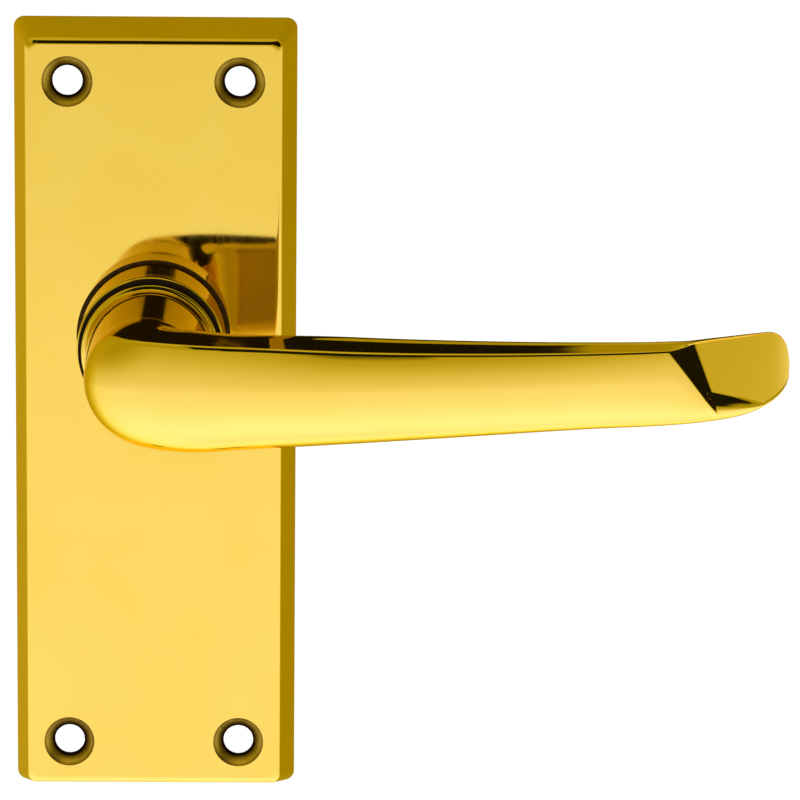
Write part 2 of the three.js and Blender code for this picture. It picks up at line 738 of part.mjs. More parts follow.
// A torsion spring around the bush: a fixed leg on the anchor pin, a moving leg on the tab.
function returnSpring() {
  const turns = (SPRING_FIXED_ANGLE - SPRING_MOVING_ANGLE + 720) / 360;
  const stepsPerTurn = 24;
  const coilSteps = Math.round(turns * stepsPerTurn);
  const legStep = 11; // degrees of coil given up to the bend into each leg
  const points = [];
  const add = (radius, degrees, y) => {
    const [x, z] = orbit(radius, degrees);
    points.push(new THREE.Vector3(x, y, z));
  };
  add(SPRING_LEG_REACH, SPRING_FIXED_ANGLE, SPRING_START_Y);
  add(SPRING_BEND_REACH, SPRING_FIXED_ANGLE, SPRING_START_Y);
  add(SPRING_RADIUS + 0.35, SPRING_FIXED_ANGLE - legStep * 0.4, SPRING_START_Y);
  for (let step = 1; step < coilSteps; step += 1) {
    const wound = (step / coilSteps) * turns;
    add(SPRING_RADIUS, SPRING_FIXED_ANGLE - 360 * wound, SPRING_START_Y + SPRING_PITCH * wound);
  }
  const endY = SPRING_START_Y + SPRING_PITCH * turns;
  add(SPRING_RADIUS + 0.35, SPRING_MOVING_ANGLE + legStep * 0.4, endY);
  add(SPRING_BEND_REACH, SPRING_MOVING_ANGLE, endY);
  add(SPRING_LEG_REACH, SPRING_MOVING_ANGLE, endY);
  const route = new THREE.CatmullRomCurve3(points, false, "centripetal");
  const wire = new THREE.Shape().absarc(0, 0, SPRING_WIRE_RADIUS, 0, 2 * Math.PI);
  return new THREE.ExtrudeGeometry(wire, {
    extrudePath: route,
    steps: 96,
    curveSegments: 4,
  });
}

// The stop at rest, the stop when fully pressed and the spring anchor.
function pinPlaces() {
  return [
    orbit(STOP_PIN_ORBIT, STOP_ARM_ANGLE + STOP_PIN_OFFSET),
    orbit(STOP_PIN_ORBIT, STOP_ARM_ANGLE - TRAVEL - STOP_PIN_OFFSET),
    orbit(ANCHOR_ORBIT, ANCHOR_ANGLE),
  ];
}

function pin(endY) {
  const startY = CAVITY_FLOOR_Y - PIN_SEAT_DEPTH;
  const chamfer = 0.3;
  return turned([
    [0, startY],
    [STOP_PIN_RADIUS, startY],
    [STOP_PIN_RADIUS, endY - chamfer],
    [STOP_PIN_RADIUS - chamfer, endY],
    [0, endY],
  ], 24);
}

// ---------------------------------------------------------------- rear cover

function coverScrewHole() {
  return turned([
    [0, COVER_START_Y - 1],
    [COVER_SCREW_RADIUS + 0.3, COVER_START_Y - 1],
    [COVER_SCREW_RADIUS + 0.3, COVER_START_Y + 0.1],
    [COVER_SCREW_HEAD_RADIUS + 0.2, COVER_END_Y],
    [COVER_SCREW_HEAD_RADIUS + 0.2, 1],
    [0, 1],
  ], 24);
}

function rearCover() {
  let made = solid(block(
    [-COVER_WIDTH / 2, COVER_START_Y, -COVER_HEIGHT / 2],
    [COVER_WIDTH / 2, COVER_END_Y, COVER_HEIGHT / 2],
  ));
  made = made.subtract(solid(bar(COVER_BORE_RADIUS, -5, 1)));
  for (const [x, z] of coverScrewPlaces()) {
    made = made.subtract(solid(coverScrewHole().translate(x, 0, z)));
  }
  return made;
}

// A countersunk screw with a cross recess.
function coverScrew() {
  const body = turned([
    [0, CAVITY_FLOOR_Y + 1.4],
    [COVER_SCREW_RADIUS - 0.4, CAVITY_FLOOR_Y + 1.4],
    [COVER_SCREW_RADIUS, CAVITY_FLOOR_Y + 1.9],
    [COVER_SCREW_RADIUS, COVER_START_Y + 0.05],
    [COVER_SCREW_HEAD_RADIUS, COVER_END_Y],
    [0, COVER_END_Y],
  ], 24);
  let made = solid(body);
  for (const [x, z] of [[1.6, 0.3], [0.3, 1.6]]) {
    made = made.subtract(solid(block([-x, -0.9, -z], [x, 1, z])));
  }
  return geometryOf(made);
}

// ---------------------------------------------------------------- assembly

// Everything fixed to the plate.
const fixed = new THREE.Group();
fixed.add(piece("backplate", backplate(), BRASS));
fixed.add(piece("collar", collar(), BRASS));
fixed.add(piece("bearing_bush", bearingBush(), WHITE_NYLON));
fixed.add(piece("return_spring", returnSpring(), SPRING_STEEL));
fixed.add(piece("rear_cover", rearCover(), ZINC_STEEL));

["rest_stop_pin", "down_stop_pin", "spring_anchor_pin"].forEach((name, index) => {
  const [x, z] = pinPlaces()[index];
  const endY = name === "spring_anchor_pin" ? ANCHOR_PIN_END_Y : STOP_PIN_END_Y;
  const mesh = piece(name, pin(endY), STEEL);
  mesh.position.set(x, 0, z);
  fixed.add(mesh);
});

coverScrewPlaces().forEach(([x, z], index) => {
  const mesh = piece("cover_screw_" + (index + 1), coverScrew(), ZINC_STEEL);
  mesh.position.set(x, 0, z);
  fixed.add(mesh);
});

// Everything that turns about the spindle axis.
const turning = new THREE.Group();
turning.add(piece("lever", lever(), BRASS));
turning.add(piece("thrust_washer", thrustWasher(), BLACK_NYLON));
turning.add(piece("wave_washer", waveWasher(), SPRING_STEEL));
turning.add(piece("follower", follower(), STEEL));
turning.add(piece("retaining_ring", retainingRing(), SPRING_STEEL));
turning.add(piece("spindle", spindle(), ZINC_STEEL));
turning.add(piece("grub_screw", grubScrew(), SPRING_STEEL));

const lockset = new THREE.Group();
lockset.add(fixed, turning);

export default lockset;
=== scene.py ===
"""A polished brass lever handle on a bevelled latch backplate, in a shaped studio light.

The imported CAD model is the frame. The plate, collar, lever, washer, cover, screws and spindle
are replaced by finer meshes inside the CAD model's box. They follow its shape to 0.4 mm, which
is how much slimmer the lever's neck is, but the plate has no blind holes for the three pins.
The other pieces keep their CAD meshes.
Lengths are in millimetres and are turned to metres where a mesh is made.
"""

import math

import bmesh
import bpy
from mathutils import Matrix, Vector


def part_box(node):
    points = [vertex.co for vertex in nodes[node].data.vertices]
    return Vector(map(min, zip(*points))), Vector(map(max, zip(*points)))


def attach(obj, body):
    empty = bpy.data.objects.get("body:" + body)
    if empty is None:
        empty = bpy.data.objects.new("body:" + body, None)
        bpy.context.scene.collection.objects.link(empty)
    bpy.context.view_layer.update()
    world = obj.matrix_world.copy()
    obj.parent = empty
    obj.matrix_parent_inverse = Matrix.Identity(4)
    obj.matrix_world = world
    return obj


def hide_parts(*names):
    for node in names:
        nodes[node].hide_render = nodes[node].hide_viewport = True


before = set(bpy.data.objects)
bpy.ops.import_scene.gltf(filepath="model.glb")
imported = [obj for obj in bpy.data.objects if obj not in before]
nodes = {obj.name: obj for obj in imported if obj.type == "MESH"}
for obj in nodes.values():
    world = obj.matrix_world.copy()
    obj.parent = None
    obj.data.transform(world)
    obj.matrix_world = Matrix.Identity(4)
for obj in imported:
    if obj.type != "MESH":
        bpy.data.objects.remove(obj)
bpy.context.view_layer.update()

MM = 0.001


def box_mm(node):
    """The low and high corners of a CAD node, in millimetres."""
    low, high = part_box(node)
    return low / MM, high / MM


PLATE_LOW, PLATE_HIGH = box_mm("backplate")
PLATE_MIDDLE_Z = (PLATE_LOW.z + PLATE_HIGH.z) / 2
COLLAR_LOW, COLLAR_HIGH = box_mm("collar")
WASHER_LOW, WASHER_HIGH = box_mm("thrust_washer")
COVER_LOW, COVER_HIGH = box_mm("rear_cover")
LEVER_LOW, LEVER_HIGH = box_mm("lever")
SPINDLE_LOW, SPINDLE_HIGH = box_mm("spindle")
GRUB_LOW, GRUB_HIGH = box_mm("grub_screw")

# ---------------------------------------------------------------- sizes that the boxes don't give

BEVEL_INSET = 2.26
EDGE_ROLL = 0.9
CORNER_RADIUS = 1.6
PLATE_WALL = 2.2
FIXING_SPACING = (25.6, 100.8)
FIXING_HOLE_RADIUS = 2.25
COUNTERSINK_RADIUS = 3.65
COUNTERSINK_DEPTH = 1.6
SPIGOT_RADIUS = 10.4
RECESS_RADIUS = 11.5
RECESS_DEPTH = 0.7
COLLAR_BORE_RADIUS = 9.8
COLLAR_FRONT_RADIUS = 10.9
WASHER_BORE = 8.5
COVER_SCREWS = (14, 20)
COVER_SCREW_HEAD_RADIUS = 2.6
COVER_SCREW_RADIUS = 1.45
COVER_BOSS_RADIUS = 2.9
COVER_SCREW_HOLE_RADIUS = 1.6
COVER_BORE_RADIUS = 9.6
GRUB_RADIUS = 2.45
GRUB_MIDDLE_Y = (GRUB_LOW.y + GRUB_HIGH.y) / 2

FLANGE_BACK_Y = -23
FLANGE_RADIUS = 10.15
NECK_RADIUS = 8.8
FLARE_RADIUS = 9.4
JOURNAL_RADIUS = 8.2
TAIL_RADIUS = 7.6
TAIL_START_Y = -4.4
TAIL_END_Y = -0.5
TAIL_FLAT = 6.6
GROOVE = (-2.4, -1.3, 6.9)
SOCKET_HALF = 4.1
SOCKET_END_Y = -41
ELBOW = (12.5, -44)  # (x, y) of the crook that the elbow turns about
ELBOW_ROUNDNESS = 2.25
ROUND_END_ANGLE = 2  # degrees around the elbow between its round and its ridged section
ROOT_START_ANGLE = 54
ROOT_TO_GRIP_X = (12, 30)  # where the elbow's section turns into the grip's
GRIP_TO_TIP_X = (74, 80)  # where the grip's section turns into the tip's
TIP_Z = 5.1
TIP_TOP_LENGTH = 3.4  # how far from the tip its top and bottom start to round
TIP_BOTTOM_LENGTH = 9
TIP_POWER = 2.5


# ---------------------------------------------------------------- mesh helpers

def make_object(name, mesh_builder):
    """A new mesh object from a bmesh, scaled from millimetres to metres."""
    bmesh.ops.recalc_face_normals(mesh_builder, faces=mesh_builder.faces)
    bmesh.ops.scale(mesh_builder, vec=(MM, MM, MM), verts=mesh_builder.verts)
    mesh = bpy.data.meshes.new(name)
    mesh_builder.to_mesh(mesh)
    mesh_builder.free()
    made = bpy.data.objects.new(name, mesh)
    bpy.context.scene.collection.objects.link(made)
    return made


def skin_rings(rings):
    """A closed bmesh through rings of points, with a flat face over each end."""
    builder = bmesh.new()
    rows = [[builder.verts.new(point) for point in ring] for ring in rings]
    count = len(rows[0])
    for row, following in zip(rows, rows[1:]):
        for i in range(count):
            j = (i + 1) % count
            builder.faces.new((row[i], row[j], following[j], following[i]))
    builder.faces.new(rows[0])
    builder.faces.new(rows[-1])
    return builder


def circle_points(radius, y, sides, x=0.0, z=0.0):
    """Points of a circle in a plane of constant y."""
    turns = [2 * math.pi * step / sides for step in range(sides)]
    return [Vector((x + radius * math.cos(t), y, z + radius * math.sin(t))) for t in turns]


def rounded_rectangle(y, half_x, half_z, radius, steps=5, centre_z=0.0):
    """Points of a rectangle with round corners, in a plane of constant y."""
    points = []
    for quarter, (side_x, side_z) in enumerate(((1, 1), (-1, 1), (-1, -1), (1, -1))):
        for step in range(steps + 1):
            angle = math.radians(quarter * 90 + step * 90 / steps)
            x = side_x * (half_x - radius) + radius * math.cos(angle)
            z = side_z * (half_z - radius) + radius * math.sin(angle)
            points.append(Vector((x, y, centre_z + z)))
    return points


def turned(profile, sides=160, x=0.0, z=0.0):
    """A closed bmesh of revolution about Y through (radius, y) points, solid to the axis."""
    return skin_rings([circle_points(radius, y, sides, x, z) for radius, y in profile])


def turned_ring(profile, sides=160):
    """A bmesh of revolution about Y whose profile closes on itself."""
    builder = bmesh.new()
    rows = [[builder.verts.new(p) for p in circle_points(r, y, sides)] for r, y in profile]
    for row, following in zip(rows, rows[1:] + rows[:1]):
        for i in range(sides):
            j = (i + 1) % sides
            builder.faces.new((row[i], row[j], following[j], following[i]))
    return builder


def block(low, high):
    """A bmesh box between two corners."""
    builder = bmesh.new()
    bmesh.ops.create_cube(builder, size=1)
    low, high = Vector(low), Vector(high)
    size = high - low
    bmesh.ops.scale(builder, vec=size, verts=builder.verts)
    bmesh.ops.translate(builder, vec=(low + high) / 2, verts=builder.verts)
    return builder


def cut(target, cutter, operation="DIFFERENCE"):
    """Cuts or joins with another object, which is used up."""
    modifier = target.modifiers.new("cut", "BOOLEAN")
    modifier.operation = operation
    modifier.solver = "EXACT"
    modifier.object = cutter
    graph = bpy.context.evaluated_depsgraph_get()
    result = bpy.data.meshes.new_from_object(target.evaluated_get(graph))
    target.modifiers.clear()
    old = target.data
    target.data = result
    bpy.data.meshes.remove(old)
    bpy.data.objects.remove(cutter)


def smooth(target, degrees=32):
    """Smooth shading between faces that meet at less than an angle, with flat faces kept flat."""
    for polygon in target.data.polygons:
        polygon.use_smooth = True
    target.data.set_sharp_from_angle(angle=math.radians(degrees))
    weighted = target.modifiers.new("weighted normals", "WEIGHTED_NORMAL")
    weighted.weight = 90
    weighted.keep_sharp = True


def paint(piece, materials, index_at):
    """Gives the piece its materials, and each face the one that index_at picks by its centre."""
    piece.data.materials.clear()
    for material in materials:
        piece.data.materials.append(material)
    for polygon in piece.data.polygons:
        polygon.material_index = index_at(polygon.center / MM, polygon.normal)


def round_corner(before, corner, after, steps):
    """Points of a quadratic curve that rounds a corner."""
    points = []
    for step in range(steps + 1):
        t = step / steps
        points.append(before * (1 - t) ** 2 + corner * 2 * t * (1 - t) + after * t * t)
    return points


# ---------------------------------------------------------------- backplate

def plate_ring(y, inset, radius):
    """The plate's outline, drawn in by an inset."""
    half_x = PLATE_HIGH.x - inset
    half_z = (PLATE_HIGH.z - PLATE_LOW.z) / 2 - inset
    return rounded_rectangle(y, half_x, half_z, radius, 8, PLATE_MIDDLE_Z)


def plate_edge(steps=6):
    """(y, inset) along the rolled edge between the bevel and the face."""
    front_y = PLATE_LOW.y
    bevel = Vector((front_y + EDGE_ROLL, BEVEL_INSET * (1 - EDGE_ROLL / -front_y)))
    corner = Vector((front_y, BEVEL_INSET))
    face = Vector((front_y, BEVEL_INSET + EDGE_ROLL))
    return round_corner(bevel, corner, face, steps)


def fixing_holes():
    """(x, z) of the four countersunk holes."""
    across, up = FIXING_SPACING
    return [(sx * across / 2, PLATE_MIDDLE_Z + sz * up / 2) for sx in (-1, 1) for sz in (-1, 1)]


def make_backplate():
    """The bevelled plate with a hollow back, bosses, countersunk holes and the collar's seat."""
    front_y = PLATE_LOW.y
    floor_y = front_y + PLATE_WALL
    rings = [plate_ring(0, 0, CORNER_RADIUS)]
    for y, inset in plate_edge():
        rings.append(plate_ring(y, inset, CORNER_RADIUS * 0.8))
    plate = make_object("plate_body", skin_rings(rings))
    floor_inset = PLATE_WALL + BEVEL_INSET * (-floor_y / -front_y)
    hollow = skin_rings([
        plate_ring(1, PLATE_WALL, CORNER_RADIUS),
        plate_ring(floor_y, floor_inset, CORNER_RADIUS),
    ])
    cut(plate, make_object("hollow", hollow))
    cover_y = COVER_LOW.y
    for x in (-COVER_SCREWS[0], COVER_SCREWS[0]):
        for z in (-COVER_SCREWS[1], COVER_SCREWS[1]):
            boss = turned(
                [(COVER_BOSS_RADIUS, floor_y - 0.4), (COVER_BOSS_RADIUS, cover_y - 0.15)], 48, x, z
            )
            cut(plate, make_object("boss", boss), "UNION")
            radius = COVER_SCREW_HOLE_RADIUS
            hole = turned([(radius, floor_y + 0.8), (radius, 1)], 48, x, z)
            cut(plate, make_object("hole", hole))
    slope = (COUNTERSINK_RADIUS - FIXING_HOLE_RADIUS) / COUNTERSINK_DEPTH
    lip = 0.12
    for x, z in fixing_holes():
        hole = turned([
            (COUNTERSINK_RADIUS + lip * 2, front_y - 0.2),
            (COUNTERSINK_RADIUS + lip, front_y + 0.02),
            (COUNTERSINK_RADIUS, front_y + lip),
            (FIXING_HOLE_RADIUS + slope * 0.1, front_y + COUNTERSINK_DEPTH - 0.1),
            (FIXING_HOLE_RADIUS, front_y + COUNTERSINK_DEPTH + 0.05),
            (FIXING_HOLE_RADIUS, 1),
        ], 96, x, z)
        cut(plate, make_object("hole", hole))
    bore = turned([
        (RECESS_RADIUS, front_y - 1),
        (RECESS_RADIUS, front_y + RECESS_DEPTH),
        (SPIGOT_RADIUS + 0.1, front_y + RECESS_DEPTH),
        (SPIGOT_RADIUS + 0.1, 1),
    ])
    cut(plate, make_object("bore", bore))
    plate.name = "brass_backplate"
    smooth(plate)
    return plate


POLISHED, CAST, COUNTERSINK, JOINT = range(4)


def plate_finish(centre, normal):
    """Which of the plate's four finishes a face has: only the outside is polished."""
    if normal.y > 0.5:
        return CAST
    front_y = PLATE_LOW.y
    # Countersink faces take the brass with painted rings of shade and reflection.
    for x, z in fixing_holes():
        from_hole = math.hypot(centre.x - x, centre.z - z)
        if from_hole < COUNTERSINK_RADIUS + 0.06 and centre.y > front_y + 0.05:
            return COUNTERSINK
    # Faces in the recess around the collar take the painted shade of the joint.
    if math.hypot(centre.x, centre.z) < RECESS_RADIUS + 0.05 and centre.y > front_y + 0.02:
        return JOINT
    inset = BEVEL_INSET * centre.y / front_y
    from_side = PLATE_HIGH.x - inset - abs(centre.x)
    from_end = (PLATE_HIGH.z - PLATE_LOW.z) / 2 - inset - abs(centre.z - PLATE_MIDDLE_Z)
    inside = min(from_side, from_end) > PLATE_WALL / 2
    return CAST if inside and centre.y > front_y + PLATE_WALL / 2 else POLISHED


# ---------------------------------------------------------------- collar

def make_collar():
    """A turned ring that swells towards its seat in the plate."""
    front_y, back_y = COLLAR_LOW.y, COLLAR_HIGH.y
    edge = 0.55
    seat_y = PLATE_LOW.y + RECESS_DEPTH - 0.01
    base_radius = COLLAR_HIGH.x
    front_corner = round_corner(
        Vector((COLLAR_FRONT_RADIUS - edge, front_y)),
        Vector((COLLAR_FRONT_RADIUS, front_y)),
        Vector((COLLAR_FRONT_RADIUS + 0.03, front_y + edge)),
        6,
    )
    profile = [(COLLAR_BORE_RADIUS, front_y)]
    profile += [(r, y) for r, y in front_corner]
    for step in range(1, 9):
        share = step / 8
        radius = COLLAR_FRONT_RADIUS + (base_radius - COLLAR_FRONT_RADIUS) * share ** 1.2
        profile.append((radius, front_y + edge + (seat_y - front_y - edge) * share))
    profile += [(SPIGOT_RADIUS, seat_y), (SPIGOT_RADIUS, back_y), (COLLAR_BORE_RADIUS, back_y)]
    collar = make_object("brass_collar", turned_ring(profile))
    smooth(collar)
    return collar


def make_washer():
    """The thin washer between the collar and the lever's flange."""
    bore, radius = WASHER_BORE, WASHER_HIGH.x
    back_y, front_y = WASHER_HIGH.y, WASHER_LOW.y
    roll = 0.12
    washer = make_object("thrust_washer_disc", turned_ring([
        (bore, back_y), (radius - roll, back_y), (radius, back_y - roll),
        (radius, front_y + roll), (radius - roll, front_y), (bore, front_y),
    ]))
    smooth(washer)
    return washer


# ---------------------------------------------------------------- lever

# Control points of six joined Bezier curves around the lever's section. First value: -1 at the
# back to 1 at the front. Second: -1 at the bottom to 1 at the top. The rows are the facet that
# starts at the ridge, the top behind it, the leaning back, its foot, the bottom and the front.
ROOT_SECTION = (
    ((0.92, 0.87), (0.68, 0.9), (0.44, 0.93)),
    ((0.2, 0.96), (-0.05, 0.955), (-0.6, 0.965)),
    ((-0.68, 0.8), (-0.76, 0.35), (-0.84, -0.1)),
    ((-0.93, -0.5), (-1.02, -0.8), (-0.8, -1)),
    ((-0.3, -1), (0.6, -1), (1, -0.6)),
    ((1, 0.1), (1, 0.42), (0.958, 0.68)),
)
GRIP_SECTION = (
    ((0.9, 0.85), (0.58, 0.882), (0.27, 0.915)),
    ((-0.05, 0.947), (-0.2, 0.985), (-0.44, 1.03)),
    ((-0.62, 0.86), (-0.8, 0.35), (-0.93, -0.1)),
    ((-1, -0.5), (-1.03, -0.8), (-0.8, -1)),
    ((-0.3, -1), (0.65, -1), (1, -0.6)),
    ((1, 0.1), (1, 0.42), (0.945, 0.68)),
)
TIP_SECTION = (
    ((0.8, 0.93), (0.5, 0.965), (0.2, 0.99)),
    ((-0.1, 1), (-0.5, 1), (-0.85, 0.9)),
    ((-0.95, 0.6), (-1, 0.3), (-1, 0)),
    ((-1, -0.4), (-1, -0.85), (-0.7, -1)),
    ((-0.2, -1), (0.5, -1), (0.95, -0.85)),
    ((1, -0.5), (1, 0), (0.95, 0.6)),
)
ROUND_ANGLES = (50, 115, 160, 205, 260, 360, 410)
SECTION_STEPS = (20, 12, 16, 14, 30, 72)
RIDGE_CUT = (0.07, 0.9)  # shares of the facet and of the front where the ridge's rounding ends


def round_section():
    """The rows of GRIP_SECTION for a circle."""
    rows = []
    for start, end in zip(ROUND_ANGLES, ROUND_ANGLES[1:]):
        a, b = math.radians(start), math.radians(end)
        handle = 4 / 3 * math.tan((b - a) / 4)
        first = Vector((math.cos(a), math.sin(a)))
        last = Vector((math.cos(b), math.sin(b)))
        rows.append((
            first,
            first + handle * Vector((-first.y, first.x)),
            last + handle * Vector((last.y, -last.x)),
        ))
    return rows


ROUND_SECTION = round_section()


def blend_sections(first, second, share):
    """Rows of control points between two sections."""
    return [
        [Vector(a).lerp(Vector(b), share) for a, b in zip(first_row, second_row)]
        for first_row, second_row in zip(first, second)
    ]


def bezier(a, b, c, d, t):
    """A point of a cubic Bezier curve."""
    s = 1 - t
    return a * s ** 3 + b * 3 * s * s * t + c * 3 * s * t * t + d * t ** 3


def section_outline(rows):
    """Points around a section, with its ridge softened."""
    outline = []
    for index, row in enumerate(rows):
        end = rows[(index + 1) % len(rows)][0]
        low = RIDGE_CUT[0] if index == 0 else 0
        high = RIDGE_CUT[1] if index == len(rows) - 1 else 1
        steps = SECTION_STEPS[index]
        for step in range(steps):
            outline.append(bezier(*row, end, low + (high - low) * step / steps))
    facet, front = rows[0], rows[-1]
    before = bezier(*front, facet[0], RIDGE_CUT[1])
    after = bezier(*facet, rows[1][0], RIDGE_CUT[0])
    outline += round_corner(before, facet[0], after, 8)[:-1]
    return outline


def smooth_profile(points):
    """A smooth value along X through (x, value) points, by centripetal Catmull-Rom."""
    knots = [Vector(p) for p in points]
    knots = [2 * knots[0] - knots[1]] + knots + [2 * knots[-1] - knots[-2]]
    samples = []
    for a, b, c, d in zip(knots, knots[1:], knots[2:], knots[3:]):
        t1 = (b - a).length ** 0.5
        t2 = t1 + (c - b).length ** 0.5
        t3 = t2 + (d - c).length ** 0.5
        for step in range(40):
            t = t1 + (t2 - t1) * step / 40
            p1 = a * (t1 - t) / t1 + b * t / t1
            p2 = b * (t2 - t) / (t2 - t1) + c * (t - t1) / (t2 - t1)
            p3 = c * (t3 - t) / (t3 - t2) + d * (t - t2) / (t3 - t2)
            q1 = p1 * (t2 - t) / t2 + p2 * t / t2
            q2 = p2 * (t3 - t) / (t3 - t1) + p3 * (t - t1) / (t3 - t1)
            samples.append(q1 * (t2 - t) / (t2 - t1) + q2 * (t - t1) / (t2 - t1))
    samples.append(knots[-2])

    def value(x):
        if x <= samples[0].x:
            return samples[0].y
        for a, b in zip(samples, samples[1:]):
            if x <= b.x:
                return a.y + (b.y - a.y) * (x - a.x) / (b.x - a.x)
        return samples[-1].y

    return value


TIP_X = LEVER_HIGH.x
front_y_at = smooth_profile([
    (12.5, -60.4), (38, -60.3), (62, -59.2), (76, -59.2), (85, -60.7), (TIP_X, -62.6),
])
back_y_at = smooth_profile([
    (12.5, -47.6), (38, -49.9), (62, -52), (76, -54.4), (85, -57.2), (TIP_X, -60),
])
top_z_at = smooth_profile([
    (12.5, 8.45), (38, 7.7), (62, 7.6), (76, 8.2), (85, 9.6), (TIP_X, 10.7),
])
bottom_z_at = smooth_profile([
    (12.5, -8.6), (38, -6.7), (62, -4.9), (76, -3.8), (85, -2), (TIP_X, -0.6),
])


def tip_share(x, length, power):
    """How much of its full size the lever keeps close to its rounded tip."""
    into = max(0.0, (x - (TIP_X - length)) / length)
    return max(0.0, 1 - into ** power) ** (1 / power)


def smoothstep(value, low, high):
    """0 up to low and 1 from high, with an eased rise between them."""
    t = min(1.0, max(0.0, (value - low) / (high - low)))
    return t * t * (3 - 2 * t)


def mix(a, b, share):
    """The value a share of the way from a to b."""
    return a + (b - a) * share


# The dished face at the tip, in (x, z): its wall falls from the outer lines to the inner ones.
DISH_LEFT_OUTER = ((74.2, 6.35), (81.4, -2.75))
DISH_LEFT_INNER = ((77.5, 8.05), (79.9, 1.25))
DISH_FOOT_OUTER = ((81, -3.6), (86, -1.2))
DISH_FOOT_INNER = ((79.9, 1.25), (85, 0.3))
DISH_START_X = 73
END_START_X = 87.5
DISH_DEPTH = 1.1
DISH_LEAN = math.tan(math.radians(7))
DISH_FLOOR_Z = 0.8


def side_of(line, x, z):
    """Distance from a line in (x, z), positive on its left-hand side."""
    (x1, z1), (x2, z2) = line
    length = math.hypot(x2 - x1, z2 - z1)
    return ((x2 - x1) * (z - z1) - (z2 - z1) * (x - x1)) / length


def between(outer, inner):
    """0 at the outer line and 1 at the inner one, with slightly eased ends."""
    share = outer / max(1e-6, outer - inner) if outer > 0 else 0.0
    share = min(1.0, share)
    return mix(share, smoothstep(share, 0, 1), 0.35)


def dish_share(x, z):
    """How far a point is down into the dished face: 0 outside, 1 on its floor."""
    if x < DISH_LEFT_OUTER[0][0] - 2:
        return 0.0
    left = between(side_of(DISH_LEFT_OUTER, x, z), side_of(DISH_LEFT_INNER, x, z))
    foot = between(side_of(DISH_FOOT_OUTER, x, z), side_of(DISH_FOOT_INNER, x, z))
    return min(left, foot)


def grip_ring(x):
    """One ring of the grip in a plane of constant x."""
    front_y, back_y = front_y_at(x), back_y_at(x)
    middle_y = (front_y + back_y) / 2
    half_depth = (back_y - front_y) / 2
    high = mix(TIP_Z, top_z_at(x), tip_share(x, TIP_TOP_LENGTH, TIP_POWER))
    low = mix(TIP_Z, bottom_z_at(x), tip_share(x, TIP_BOTTOM_LENGTH, TIP_POWER))
    half_height = max(0.02, (high - low) / 2)
    rows = blend_sections(ROOT_SECTION, GRIP_SECTION, smoothstep(x, *ROOT_TO_GRIP_X))
    rows = blend_sections(rows, TIP_SECTION, smoothstep(x, *GRIP_TO_TIP_X))
    end_share = max(0.01, tip_share(x, 3, 2))
    ring = []
    for p in section_outline(rows):
        z = (high + low) / 2 + half_height * p.y
        y = middle_y - half_depth * p.x
        floor_y = front_y + DISH_DEPTH + DISH_LEAN * (z - DISH_FLOOR_Z)
        share = dish_share(x, z) * smoothstep(p.x, 0, 0.7)
        y = mix(y, max(y, floor_y), share)
        y = max(middle_y + (y - middle_y) * end_share, LEVER_LOW.y)
        ring.append(Vector((x, y, z)))
    return ring


def elbow_ring(degrees):
    """One ring of the elbow, in a plane through the crook, from the neck (0) to the grip (90)."""
    turn = math.radians(degrees)
    elbow_x, elbow_y = ELBOW
    inner = abs(mix(elbow_x - NECK_RADIUS, elbow_y - back_y_at(elbow_x), degrees / 90))
    across = math.cos(turn) / (elbow_x + NECK_RADIUS)
    forward = math.sin(turn) / (elbow_y - front_y_at(elbow_x))
    outer = (across ** ELBOW_ROUNDNESS + forward ** ELBOW_ROUNDNESS) ** (-1 / ELBOW_ROUNDNESS)
    swell = math.sin(2 * turn)
    high = mix(NECK_RADIUS, top_z_at(elbow_x), degrees / 90) + 0.2 * swell
    low = mix(-NECK_RADIUS, bottom_z_at(elbow_x), degrees / 90) - 0.5 * swell
    root_share = smoothstep(degrees, ROUND_END_ANGLE, ROOT_START_ANGLE)
    ring = []
    for p in section_outline(blend_sections(ROUND_SECTION, ROOT_SECTION, root_share)):
        reach = (inner + outer) / 2 + (outer - inner) / 2 * p.x
        x = elbow_x - reach * math.cos(turn)
        y = elbow_y - reach * math.sin(turn)
        ring.append(Vector((x, y, (high + low) / 2 + (high - low) / 2 * p.y)))
    return ring


def shank_profile():
    """(radius, y) from the tail to the neck, with the flange's flare."""
    groove_start, groove_end, groove_radius = GROOVE
    points = [
        (TAIL_RADIUS, TAIL_END_Y),
        (TAIL_RADIUS, groove_end),
        (groove_radius, groove_end),
        (groove_radius, groove_start),
        (TAIL_RADIUS, groove_start),
        (TAIL_RADIUS, TAIL_START_Y),
        (JOURNAL_RADIUS, TAIL_START_Y),
        (JOURNAL_RADIUS, FLANGE_BACK_Y),
    ]
    back_edge = round_corner(
        Vector((FLANGE_RADIUS - 0.3, FLANGE_BACK_Y)),
        Vector((FLANGE_RADIUS, FLANGE_BACK_Y)),
        Vector((FLANGE_RADIUS, FLANGE_BACK_Y - 0.3)),
        5,
    )
    points += [(r, y) for r, y in back_edge]
    front_edge = round_corner(
        Vector((FLANGE_RADIUS, FLANGE_BACK_Y - 1.2)),
        Vector((FLANGE_RADIUS - 0.02, FLANGE_BACK_Y - 1.5)),
        Vector((FLANGE_RADIUS - 0.3, FLANGE_BACK_Y - 1.55)),
        6,
    )
    points += [(r, y) for r, y in front_edge]
    flare_start = Vector((FLANGE_RADIUS - 0.3, FLANGE_BACK_Y - 1.55))
    flare_corner = Vector((FLARE_RADIUS, FLANGE_BACK_Y - 1.6))
    flare_end = Vector((FLARE_RADIUS - 0.02, FLANGE_BACK_Y - 2.1))
    points += [(r, y) for r, y in round_corner(flare_start, flare_corner, flare_end, 10)[1:]]
    taper_middle = Vector((NECK_RADIUS + 0.15, FLANGE_BACK_Y - 14))
    taper_end = Vector((NECK_RADIUS, FLANGE_BACK_Y - 21))
    points += [(r, y) for r, y in round_corner(flare_end, taper_middle, taper_end, 20)[1:]]
    return points


